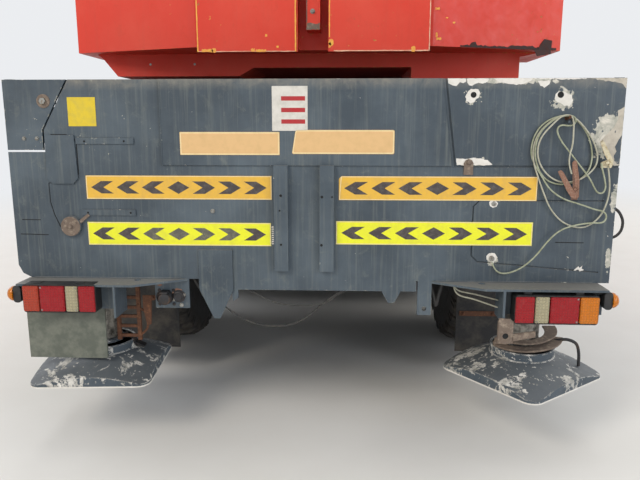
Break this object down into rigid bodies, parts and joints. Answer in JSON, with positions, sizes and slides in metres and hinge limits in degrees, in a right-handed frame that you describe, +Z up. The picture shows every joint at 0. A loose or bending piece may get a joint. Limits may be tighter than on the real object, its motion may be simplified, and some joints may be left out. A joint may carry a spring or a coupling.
{
  "type": "mobile crane",
  "caption": "All-terrain mobile crane: wheeled carrier with driver's cab and outriggers, and a slewing superstructure with telescopic boom and hook.",
  "frame": {"origin": "on the ground, in the middle of the parked crane's length and width", "axes": "+X to the crane's right, +Y forward along the carrier and the boom, +Z up"},
  "size_m": [3.12, 13.1228, 3.7198],
  "materials": {
    "carrier_paint": "worn dark blue-grey paint",
    "crane_paint": "worn orange-red paint",
    "boom_paint": "worn orange-red paint",
    "tyre_rubber": "dusty black rubber",
    "flap_rubber": "matte black rubber",
    "rim_paint": "worn silver-grey paint",
    "axle_steel": "dark chassis paint",
    "dark_steel": "dark cast steel",
    "rod_chrome": "polished rod",
    "window_glass": "clear tinted glass",
    "lamp_plastic": "red and amber lenses",
    "cable_rubber": "weathered grey-green cable sheath",
    "clamp_steel": "rusty pressed steel",
    "interior_plastic": "dark trim and cloth",
    "rope_steel": "greased wire rope",
    "hook_paint": "worn amber paint"
  },
  "bodies": {
    "carrier": {"chassis_frame": "carrier_paint", "deck": "carrier_paint", "rear_panel": "carrier_paint", "lamps": "lamp_plastic", "mud_flaps": "flap_rubber", "axles": "axle_steel", "engine": "dark_steel", "cab_shell": "carrier_paint", "cab_glass": "window_glass", "cab_interior": "interior_plastic", "front_bumper": "carrier_paint", "cable_coil": "cable_rubber", "cable_loop": "cable_rubber", "cable_tail": "cable_rubber", "clamps": "clamp_steel", "under_wire": "cable_rubber"},
    "superstructure": {"slew_frame": "crane_paint", "counterweight": "crane_paint", "winch": "rope_steel", "housings": "crane_paint", "crane_cab": "crane_paint", "crane_cab_glass": "window_glass"},
    "wheel_4_left": {"rim_4_left": "rim_paint", "tyre_4_left": "tyre_rubber"},
    "wheel_4_right": {"rim_4_right": "rim_paint", "tyre_4_right": "tyre_rubber"},
    "wheel_3_left": {"rim_3_left": "rim_paint", "tyre_3_left": "tyre_rubber"},
    "wheel_3_right": {"rim_3_right": "rim_paint", "tyre_3_right": "tyre_rubber"},
    "wheel_2_left": {"rim_2_left": "rim_paint", "tyre_2_left": "tyre_rubber"},
    "knuckle_2_left": {"knuckle_2_left": "axle_steel"},
    "wheel_2_right": {"rim_2_right": "rim_paint", "tyre_2_right": "tyre_rubber"},
    "knuckle_2_right": {"knuckle_2_right": "axle_steel"},
    "wheel_1_left": {"rim_1_left": "rim_paint", "tyre_1_left": "tyre_rubber"},
    "knuckle_1_left": {"knuckle_1_left": "axle_steel"},
    "wheel_1_right": {"rim_1_right": "rim_paint", "tyre_1_right": "tyre_rubber"},
    "knuckle_1_right": {"knuckle_1_right": "axle_steel"},
    "outrigger_rear_left": {"outrigger_rear_left": "carrier_paint"},
    "jack_rear_left": {"jack_rear_left": "carrier_paint"},
    "outrigger_rear_right": {"outrigger_rear_right": "carrier_paint"},
    "jack_rear_right": {"jack_rear_right": "carrier_paint"},
    "outrigger_front_left": {"outrigger_front_left": "carrier_paint"},
    "jack_front_left": {"jack_front_left": "carrier_paint"},
    "outrigger_front_right": {"outrigger_front_right": "carrier_paint"},
    "jack_front_right": {"jack_front_right": "carrier_paint"},
    "cab_door_left": {"cab_door_left": "carrier_paint"},
    "cab_door_right": {"cab_door_right": "carrier_paint"},
    "crane_cab_door": {"crane_cab_door": "crane_paint"},
    "boom_base": {"boom_base": "boom_paint"},
    "boom_section_2": {"boom_section_2": "boom_paint"},
    "boom_section_3": {"boom_section_3": "boom_paint"},
    "boom_section_4": {"boom_section_4": "boom_paint"},
    "luff_barrel": {"luff_barrel": "crane_paint"},
    "luff_rod": {"luff_rod": "rod_chrome"},
    "hook_block": {"hook_block": "hook_paint"}
  },
  "joints": [
    {"name": "wheel_4_left_spin", "type": "hinge", "parent": "carrier", "child": "wheel_4_left", "pos_m": [-1.1025, -4.7726, 0.74], "axis": [1, 0, 0], "continuous": true},
    {"name": "wheel_4_right_spin", "type": "hinge", "parent": "carrier", "child": "wheel_4_right", "pos_m": [1.1025, -4.7726, 0.74], "axis": [1, 0, 0], "continuous": true},
    {"name": "wheel_3_left_spin", "type": "hinge", "parent": "carrier", "child": "wheel_3_left", "pos_m": [-1.1025, -3.1226, 0.74], "axis": [1, 0, 0], "continuous": true},
    {"name": "wheel_3_right_spin", "type": "hinge", "parent": "carrier", "child": "wheel_3_right", "pos_m": [1.1025, -3.1226, 0.74], "axis": [1, 0, 0], "continuous": true},
    {"name": "steer_2_left", "type": "hinge", "parent": "carrier", "child": "knuckle_2_left", "pos_m": [-0.9425, -0.6726, 0.74], "axis": [0, 0, 1], "range_deg": [-21, 21]},
    {"name": "wheel_2_left_spin", "type": "hinge", "parent": "knuckle_2_left", "child": "wheel_2_left", "pos_m": [-1.1025, -0.6726, 0.74], "axis": [1, 0, 0], "continuous": true},
    {"name": "steer_2_right", "type": "hinge", "parent": "carrier", "child": "knuckle_2_right", "pos_m": [0.9425, -0.6726, 0.74], "axis": [0, 0, 1], "range_deg": [-21, 21]},
    {"name": "wheel_2_right_spin", "type": "hinge", "parent": "knuckle_2_right", "child": "wheel_2_right", "pos_m": [1.1025, -0.6726, 0.74], "axis": [1, 0, 0], "continuous": true},
    {"name": "steer_1_left", "type": "hinge", "parent": "carrier", "child": "knuckle_1_left", "pos_m": [-0.9425, 0.9774, 0.74], "axis": [0, 0, 1], "range_deg": [-28, 28]},
    {"name": "wheel_1_left_spin", "type": "hinge", "parent": "knuckle_1_left", "child": "wheel_1_left", "pos_m": [-1.1025, 0.9774, 0.74], "axis": [1, 0, 0], "continuous": true},
    {"name": "steer_1_right", "type": "hinge", "parent": "carrier", "child": "knuckle_1_right", "pos_m": [0.9425, 0.9774, 0.74], "axis": [0, 0, 1], "range_deg": [-28, 28]},
    {"name": "wheel_1_right_spin", "type": "hinge", "parent": "knuckle_1_right", "child": "wheel_1_right", "pos_m": [1.1025, 0.9774, 0.74], "axis": [1, 0, 0], "continuous": true},
    {"name": "outrigger_rear_left_slide", "type": "slide", "parent": "carrier", "child": "outrigger_rear_left", "axis": [-1, 0, 0], "range_m": [0, 1.55]},
    {"name": "jack_rear_left_slide", "type": "slide", "parent": "outrigger_rear_left", "child": "jack_rear_left", "axis": [0, 0, -1], "range_m": [0, 0.5]},
    {"name": "outrigger_rear_right_slide", "type": "slide", "parent": "carrier", "child": "outrigger_rear_right", "axis": [1, 0, 0], "range_m": [0, 1.55]},
    {"name": "jack_rear_right_slide", "type": "slide", "parent": "outrigger_rear_right", "child": "jack_rear_right", "axis": [0, 0, -1], "range_m": [0, 0.5]},
    {"name": "outrigger_front_left_slide", "type": "slide", "parent": "carrier", "child": "outrigger_front_left", "axis": [-1, 0, 0], "range_m": [0, 1.55]},
    {"name": "jack_front_left_slide", "type": "slide", "parent": "outrigger_front_left", "child": "jack_front_left", "axis": [0, 0, -1], "range_m": [0, 0.5]},
    {"name": "outrigger_front_right_slide", "type": "slide", "parent": "carrier", "child": "outrigger_front_right", "axis": [1, 0, 0], "range_m": [0, 1.55]},
    {"name": "jack_front_right_slide", "type": "slide", "parent": "outrigger_front_right", "child": "jack_front_right", "axis": [0, 0, -1], "range_m": [0, 0.5]},
    {"name": "cab_door_left_hinge", "type": "hinge", "parent": "carrier", "child": "cab_door_left", "pos_m": [-1.27, 3.3074, 1.5], "axis": [0, 0, -1], "range_deg": [0, 65]},
    {"name": "cab_door_right_hinge", "type": "hinge", "parent": "carrier", "child": "cab_door_right", "pos_m": [1.27, 3.3074, 1.5], "axis": [0, 0, 1], "range_deg": [0, 65]},
    {"name": "slew", "type": "hinge", "parent": "carrier", "child": "superstructure", "pos_m": [0, -2.1726, 1.74], "axis": [0, 0, 1], "continuous": true},
    {"name": "crane_cab_door_slide", "type": "slide", "parent": "superstructure", "child": "crane_cab_door", "axis": [0, -1, 0], "range_m": [0, 0.7]},
    {"name": "boom_luff", "type": "hinge", "parent": "superstructure", "child": "boom_base", "pos_m": [0, -3.4726, 3.1], "axis": [1, 0, 0], "range_deg": [0, 80]},
    {"name": "boom_extend", "type": "slide", "parent": "boom_base", "child": "boom_section_2", "axis": [0, 1, 0], "range_m": [0, 7.9]},
    {"name": "boom_extend_3", "type": "slide", "parent": "boom_section_2", "child": "boom_section_3", "axis": [0, 1, 0], "range_m": [0, 7.9]},
    {"name": "boom_extend_4", "type": "slide", "parent": "boom_section_3", "child": "boom_section_4", "axis": [0, 1, 0], "range_m": [0, 7.9]},
    {"name": "luff_barrel_swing", "type": "hinge", "parent": "superstructure", "child": "luff_barrel", "pos_m": [0, -1.9226, 2.05], "axis": [1, 0, 0], "range_deg": [0, 81.9]},
    {"name": "luff_rod_slide", "type": "slide", "parent": "luff_barrel", "child": "luff_rod", "axis": [0, 0.9752, 0.2215], "range_m": [0, 2.41]},
    {"name": "hook_swing", "type": "hinge", "parent": "boom_section_4", "child": "hook_block", "pos_m": [0, 6.2774, 2.68], "axis": [1, 0, 0], "range_deg": [-80.5, 0]}
  ],
  "couplings": [
    {"joint": "steer_2_left", "follows": "steer_1_right", "ratio": 0.75},
    {"joint": "steer_2_right", "follows": "steer_1_right", "ratio": 0.75},
    {"joint": "steer_1_left", "follows": "steer_1_right", "ratio": 1},
    {"joint": "boom_extend_3", "follows": "boom_extend", "ratio": 1},
    {"joint": "boom_extend_4", "follows": "boom_extend", "ratio": 1},
    {"joint": "luff_barrel_swing", "follows": "boom_luff", "ratio": 1.0171},
    {"joint": "luff_rod_slide", "follows": "boom_luff", "m_per_rad": 1.7224},
    {"joint": "hook_swing", "follows": "boom_luff", "ratio": -1}
  ]
}
